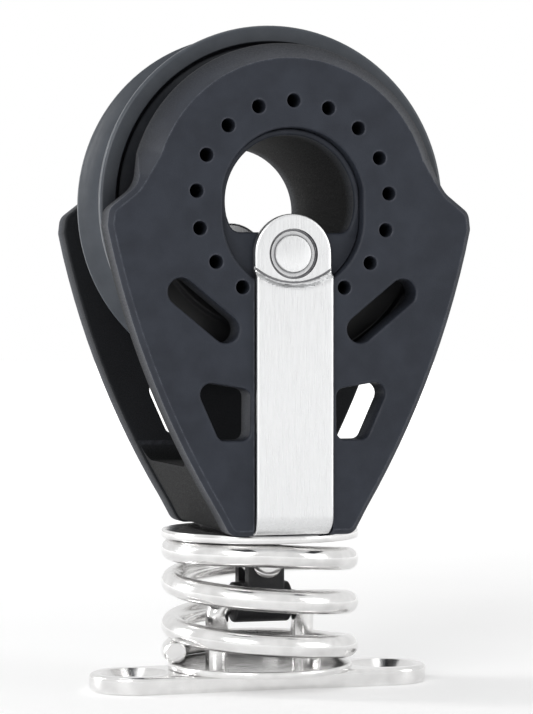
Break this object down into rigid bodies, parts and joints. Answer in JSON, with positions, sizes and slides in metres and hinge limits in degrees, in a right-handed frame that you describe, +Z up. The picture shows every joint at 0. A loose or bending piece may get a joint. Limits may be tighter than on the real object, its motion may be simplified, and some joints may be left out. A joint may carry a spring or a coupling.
{
  "type": "single sheave block",
  "caption": "Ball-bearing single sheave block with moulded cheeks and an open hub, standing on a sprung, tilting and swivelling two-eared deck base.",
  "frame": {"origin": "centre of the base's underside, on the deck", "axes": "+Z up from the deck, X along the base from ear to ear and across the cheeks, Y along the sheave's axle, with the front cheek on -Y"},
  "size_m": [0.041, 0.0278, 0.0738],
  "materials": {
    "nylon": "moulded glass-filled nylon, dark blue-grey, fine grain",
    "sheave_black": "satin black moulding",
    "ball_white": "off-white acetal balls",
    "steel_satin": "satin stainless steel",
    "steel_bright": "polished stainless steel",
    "black_coat": "black coated steel"
  },
  "bodies": {
    "base": {"base_plate": "steel_bright", "bail": "steel_bright", "lower_seat": "steel_bright", "spring": "steel_bright"},
    "link": {"toggle": "black_coat", "clevis_pin": "steel_bright"},
    "swivel": {"swivel_stud": "steel_bright", "swivel_washer": "steel_bright", "swivel_nut": "steel_bright", "lock_pin": "steel_bright", "spring_seat": "steel_bright"},
    "block": {"front_cheek": "nylon", "back_cheek": "nylon", "hub_core": "nylon", "strap": "steel_satin", "hub_rivet": "steel_satin", "head_spacer": "nylon", "dowels": "steel_satin"},
    "wheel": {"sheave": "sheave_black"},
    "front_row": {"front_balls": "ball_white"},
    "back_row": {"back_balls": "ball_white"}
  },
  "joints": [
    {"name": "face_tilt", "type": "hinge", "parent": "base", "child": "link", "pos_m": [0, 0, 0.0095], "axis": [1, 0, 0], "range_deg": [-12, 12], "stiffness_Nm_per_rad": 0.1, "deforming": ["spring"]},
    {"name": "side_tilt", "type": "hinge", "parent": "link", "child": "swivel", "pos_m": [0, 0, 0.0141], "axis": [0, 1, 0], "range_deg": [-12, 12], "stiffness_Nm_per_rad": 0.1, "deforming": ["spring"]},
    {"name": "swivel_turn", "type": "hinge", "parent": "swivel", "child": "block", "pos_m": [0, 0, 0.0195], "axis": [0, 0, 1], "continuous": true},
    {"name": "sheave_spin", "type": "hinge", "parent": "block", "child": "wheel", "pos_m": [0, 0, 0.054], "axis": [0, 1, 0], "continuous": true},
    {"name": "front_row_orbit", "type": "hinge", "parent": "block", "child": "front_row", "pos_m": [0, 0, 0.054], "axis": [0, 1, 0], "continuous": true},
    {"name": "back_row_orbit", "type": "hinge", "parent": "block", "child": "back_row", "pos_m": [0, 0, 0.054], "axis": [0, 1, 0], "continuous": true}
  ],
  "couplings": [
    {"joint": "front_row_orbit", "follows": "sheave_spin", "ratio": 0.5664},
    {"joint": "back_row_orbit", "follows": "sheave_spin", "ratio": 0.5664}
  ]
}
